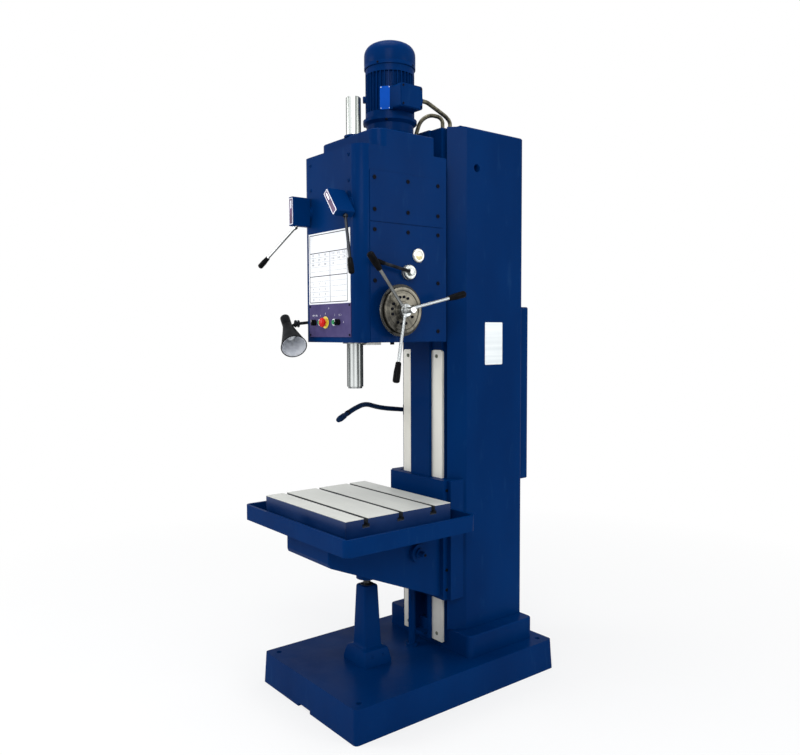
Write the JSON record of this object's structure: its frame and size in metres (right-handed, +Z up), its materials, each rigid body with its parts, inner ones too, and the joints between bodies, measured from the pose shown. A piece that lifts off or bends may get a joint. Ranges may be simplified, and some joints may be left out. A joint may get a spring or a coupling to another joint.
{
  "type": "vertical drilling machine",
  "caption": "Floor-standing vertical drilling machine: box column on a plinth, geared head with flange motor, feed wheel and quill, and a T-slotted table on a knee that slides on the column.",
  "frame": {"origin": "on the floor under the front face of the column ways, on the machine's mid-plane", "axes": "+Z up, +X to the machine's right, -Y towards the operator at the front"},
  "size_m": [0.722, 1.112, 2.53],
  "materials": {
    "blue_enamel": "semi-gloss navy enamel",
    "table_iron": "ground top, enamelled sides",
    "way_steel": "ground",
    "ground_steel": "ground and polished",
    "screw_steel": "oiled, machined",
    "pipe_steel": "drawn tube",
    "conduit_metal": "ribbed flexible metal",
    "plate_metal": "matt white, ruled",
    "panel_metal": "matt violet",
    "green_plastic": "gloss",
    "black_plastic": "satin",
    "red_plastic": "gloss",
    "yellow_plastic": "gloss",
    "sight_window": "cloudy clear",
    "bright_chrome": "polished",
    "black_steel": "blackened",
    "dial_steel": "turned",
    "lamp_black": "satin black, white inside",
    "socket_ceramic": "glazed",
    "bulb_glass": "frosted",
    "coolant_black": "satin black"
  },
  "bodies": {
    "frame": {"base_casting": "blue_enamel", "column": "blue_enamel", "left_way_strip": "way_steel", "right_way_strip": "way_steel", "electrical_cabinet": "blue_enamel", "cabinet_door": "blue_enamel", "column_top_cover": "blue_enamel", "head_body": "blue_enamel", "head_front_cover": "blue_enamel", "upper_side_cover": "blue_enamel", "lower_side_cover": "blue_enamel", "left_side_covers": "blue_enamel", "motor_flange": "blue_enamel", "motor_body": "blue_enamel", "motor_fan_cowl": "blue_enamel", "motor_terminal_box": "blue_enamel", "conduit_upper": "conduit_metal", "conduit_lower": "conduit_metal", "spindle_guard_tube": "ground_steel", "instruction_plate": "plate_metal", "control_panel": "panel_metal", "emergency_stop_ring": "yellow_plastic", "sight_glass": "sight_window", "feed_selector_hub": "bright_chrome", "feed_dial_flange": "dial_steel", "lamp_bracket": "lamp_black", "coolant_pipe": "coolant_black", "coolant_nozzle": "coolant_black", "coolant_pipe_block": "blue_enamel", "support_pedestal": "blue_enamel", "drain_pipe": "pipe_steel"},
    "quill": {"quill": "ground_steel"},
    "spindle": {"spindle": "ground_steel"},
    "knee": {"knee_casting": "blue_enamel", "coolant_trough": "blue_enamel", "work_table": "table_iron", "elevating_shaft": "screw_steel", "elevating_screw": "screw_steel"},
    "feed_wheel": {"feed_dial": "dial_steel", "feed_hub": "bright_chrome", "feed_lever_rods": "bright_chrome", "feed_lever_grips": "black_plastic"},
    "feed_selector": {"feed_selector_lever": "black_steel", "feed_selector_grip": "black_plastic"},
    "left_shift_lever": {"left_shift_hub": "blue_enamel", "left_shift_rod": "bright_chrome", "left_shift_grip": "black_plastic"},
    "right_shift_lever": {"right_shift_hub": "blue_enamel", "right_shift_rod": "bright_chrome", "right_shift_grip": "black_plastic"},
    "lamp_arm": {"lamp_arm": "lamp_black"},
    "lamp_head": {"lamp_shade": "lamp_black", "lamp_socket": "socket_ceramic", "lamp_bulb": "bulb_glass"},
    "left_selector": {"left_selector_knob": "black_plastic"},
    "right_selector": {"right_selector_knob": "black_plastic"},
    "left_button": {"left_green_button": "green_plastic"},
    "right_button": {"right_green_button": "green_plastic"},
    "stop_button": {"emergency_stop": "red_plastic"}
  },
  "joints": [
    {"name": "quill_feed", "type": "slide", "parent": "frame", "child": "quill", "axis": [0, 0, 1], "range_m": [-0.25, 0]},
    {"name": "spindle_spin", "type": "hinge", "parent": "quill", "child": "spindle", "pos_m": [0, -0.335, 1.203], "axis": [0, 0, 1], "continuous": true},
    {"name": "feed_wheel_turn", "type": "hinge", "parent": "frame", "child": "feed_wheel", "pos_m": [0.2223, -0.29, 1.496], "axis": [1, 0, 0], "range_deg": [0, 716.3]},
    {"name": "table_raise", "type": "slide", "parent": "frame", "child": "knee", "axis": [0, 0, 1], "range_m": [-0.02, 0.28]},
    {"name": "feed_selector_turn", "type": "hinge", "parent": "frame", "child": "feed_selector", "pos_m": [0.2153, -0.232, 1.638], "axis": [1, 0, 0], "range_deg": [-30, 30]},
    {"name": "left_shift_turn", "type": "hinge", "parent": "frame", "child": "left_shift_lever", "pos_m": [-0.135, -0.4563, 1.875], "axis": [0, 1, 0], "range_deg": [-25, 25]},
    {"name": "right_shift_turn", "type": "hinge", "parent": "frame", "child": "right_shift_lever", "pos_m": [0.135, -0.4563, 1.875], "axis": [0, 1, 0], "range_deg": [-25, 25]},
    {"name": "lamp_arm_swing", "type": "hinge", "parent": "frame", "child": "lamp_arm", "pos_m": [-0.212, -0.38, 1.46], "axis": [0, 0, 1], "range_deg": [-80, 0]},
    {"name": "lamp_tilt", "type": "hinge", "parent": "lamp_arm", "child": "lamp_head", "pos_m": [-0.212, -0.465, 1.452], "axis": [0.3123, 0.95, 0], "range_deg": [-30, 30]},
    {"name": "left_selector_turn", "type": "hinge", "parent": "frame", "child": "left_selector", "pos_m": [-0.1, -0.451, 1.455], "axis": [0, -1, 0], "range_deg": [-45, 45]},
    {"name": "right_selector_turn", "type": "hinge", "parent": "frame", "child": "right_selector", "pos_m": [0.062, -0.451, 1.455], "axis": [0, -1, 0], "range_deg": [-45, 45]},
    {"name": "left_button_press", "type": "slide", "parent": "frame", "child": "left_button", "axis": [0, 1, 0], "range_m": [0, 0.003], "stiffness_N_per_m": 300},
    {"name": "right_button_press", "type": "slide", "parent": "frame", "child": "right_button", "axis": [0, 1, 0], "range_m": [0, 0.003], "stiffness_N_per_m": 300},
    {"name": "stop_button_press", "type": "slide", "parent": "frame", "child": "stop_button", "axis": [0, 1, 0], "range_m": [0, 0.005], "stiffness_N_per_m": 400}
  ],
  "couplings": [
    {"joint": "feed_wheel_turn", "follows": "quill_feed", "rad_per_m": -50}
  ]
}
